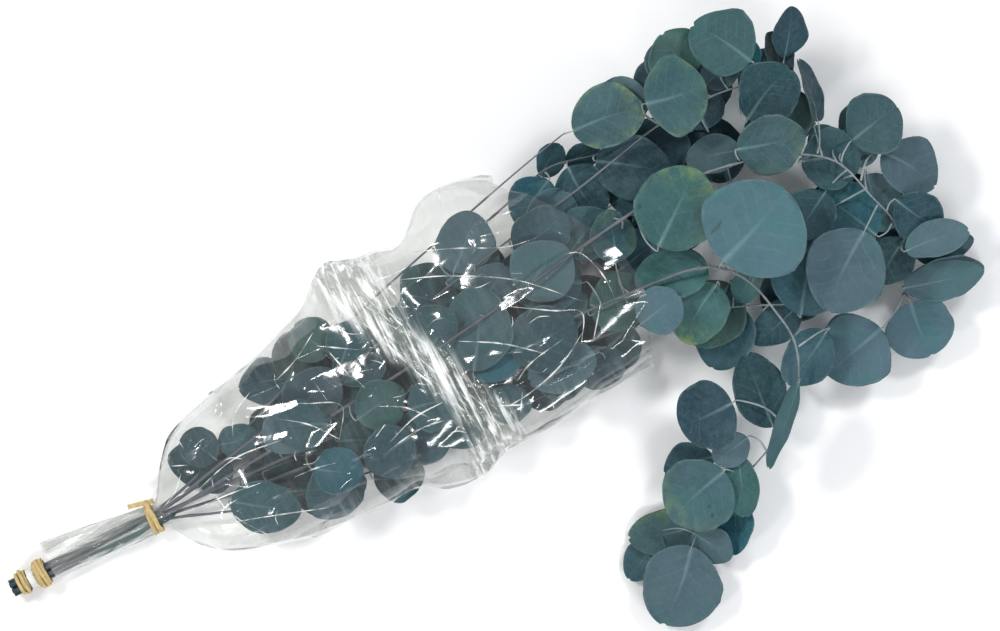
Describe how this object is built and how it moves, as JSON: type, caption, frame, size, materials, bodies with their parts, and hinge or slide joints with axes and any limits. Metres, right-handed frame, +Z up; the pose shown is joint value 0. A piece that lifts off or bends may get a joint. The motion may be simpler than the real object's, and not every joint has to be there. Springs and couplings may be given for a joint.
{
  "type": "dried eucalyptus bunch",
  "caption": "Long bunch of dyed, preserved round-leaf eucalyptus lying on its side in a clear crumpled film sleeve held by rubber bands.",
  "frame": {"origin": "centre of the bunch's bounding box, at the table it lies on", "axes": "+X along the stems from their cut ends to the leaf tips, +Y across the bunch away from the drooping shoot, +Z up"},
  "size_m": [0.7404, 0.3916, 0.0951],
  "materials": {
    "leaf_light": "matt, waxy",
    "leaf_green": "matt, waxy",
    "leaf_slate": "matt, waxy",
    "leaf_deep": "matt, waxy",
    "stem": "smooth bark with a grey bloom",
    "film": "clear glossy crumpled film",
    "rubber_band": "satin",
    "label_paper": "matt"
  },
  "bodies": {
    "root": {"stem_outer": "stem", "stem_upper": "stem", "stem_crown": "stem", "stem_arch": "stem", "stem_trail": "stem", "stem_middle": "stem", "stem_lower": "stem", "sleeve_top_film": "film", "sleeve_bottom_film": "film", "neck_band": "rubber_band", "end_band_wide": "rubber_band", "end_band_narrow": "rubber_band", "paper_label": "label_paper", "leaf_outer_01": "leaf_deep", "leaf_outer_02": "leaf_deep", "leaf_outer_03": "leaf_deep", "leaf_outer_04": "leaf_slate", "leaf_outer_05": "leaf_green", "leaf_upper_06": "leaf_deep", "leaf_upper_07": "leaf_deep", "leaf_upper_08": "leaf_slate", "leaf_upper_09": "leaf_deep", "leaf_crown_10": "leaf_light", "leaf_crown_11": "leaf_slate", "leaf_crown_12": "leaf_slate", "leaf_crown_13": "leaf_deep", "leaf_crown_14": "leaf_slate", "leaf_crown_15": "leaf_deep", "leaf_arch_16": "leaf_green", "leaf_arch_17": "leaf_green", "leaf_arch_18": "leaf_deep", "leaf_arch_19": "leaf_slate", "leaf_arch_20": "leaf_slate", "leaf_arch_21": "leaf_slate", "leaf_arch_22": "leaf_slate", "leaf_arch_23": "leaf_slate", "leaf_arch_24": "leaf_slate", "leaf_arch_25": "leaf_slate", "leaf_arch_26": "leaf_slate", "leaf_arch_27": "leaf_slate", "leaf_arch_28": "leaf_deep", "leaf_trail_29": "leaf_light", "leaf_trail_30": "leaf_deep", "leaf_trail_31": "leaf_deep", "leaf_trail_32": "leaf_light", "leaf_trail_33": "leaf_light", "leaf_trail_34": "leaf_light", "leaf_trail_35": "leaf_slate", "leaf_trail_36": "leaf_green", "leaf_trail_37": "leaf_green", "leaf_middle_38": "leaf_green", "leaf_middle_39": "leaf_light", "leaf_middle_40": "leaf_green", "leaf_middle_41": "leaf_light", "leaf_middle_42": "leaf_green", "leaf_middle_43": "leaf_slate", "leaf_middle_44": "leaf_green", "leaf_lower_45": "leaf_deep", "leaf_lower_46": "leaf_deep", "leaf_lower_47": "leaf_green"}
  },
  "joints": []
}
